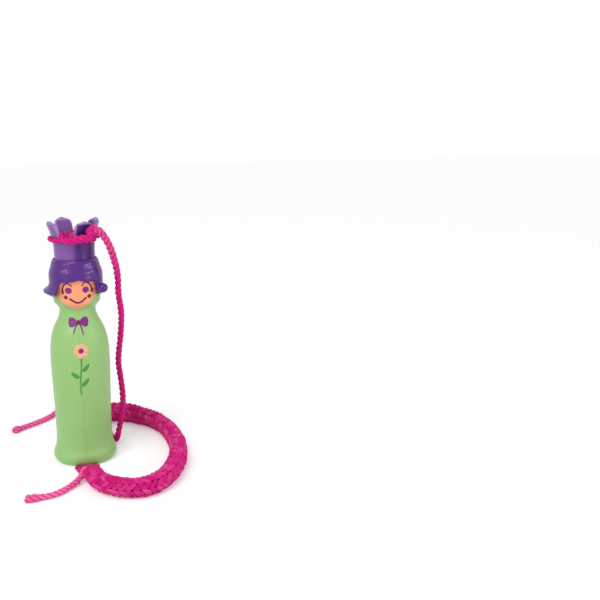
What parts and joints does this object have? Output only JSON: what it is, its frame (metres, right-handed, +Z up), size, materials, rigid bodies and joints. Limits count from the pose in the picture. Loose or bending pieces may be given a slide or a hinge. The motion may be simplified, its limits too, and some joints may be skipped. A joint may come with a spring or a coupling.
{
  "type": "i-cord maker",
  "caption": "Doll-shaped spool knitter for i-cord: hollow bell body in two shells, hair cap, turning crown of petal pegs, with yarn on the pegs and a finished knitted cord.",
  "frame": {"origin": "middle of the skirt's rim on the floor", "axes": "+Z up along the doll's axis, -Y the way the face looks, +X to the viewer's right of the face"},
  "size_m": [0.1104, 0.173, 0.15],
  "materials": {
    "green_plastic": "satin",
    "purple_plastic": "satin",
    "magenta_yarn": "matte"
  },
  "bodies": {
    "body": {"body_left_shell": "green_plastic", "body_right_shell": "green_plastic", "hair_cap": "purple_plastic", "inner_cord": "magenta_yarn", "i_cord": "magenta_yarn", "working_yarn": "magenta_yarn", "cast_on_tail": "magenta_yarn"},
    "crown": {"peg_crown": "purple_plastic", "peg_stitches": "magenta_yarn", "knit_funnel": "magenta_yarn", "yarn_start": "magenta_yarn"}
  },
  "joints": [
    {"name": "crown_turn", "type": "hinge", "parent": "body", "child": "crown", "pos_m": [0, 0, 0.1183], "axis": [0, 0, 1], "continuous": true}
  ]
}
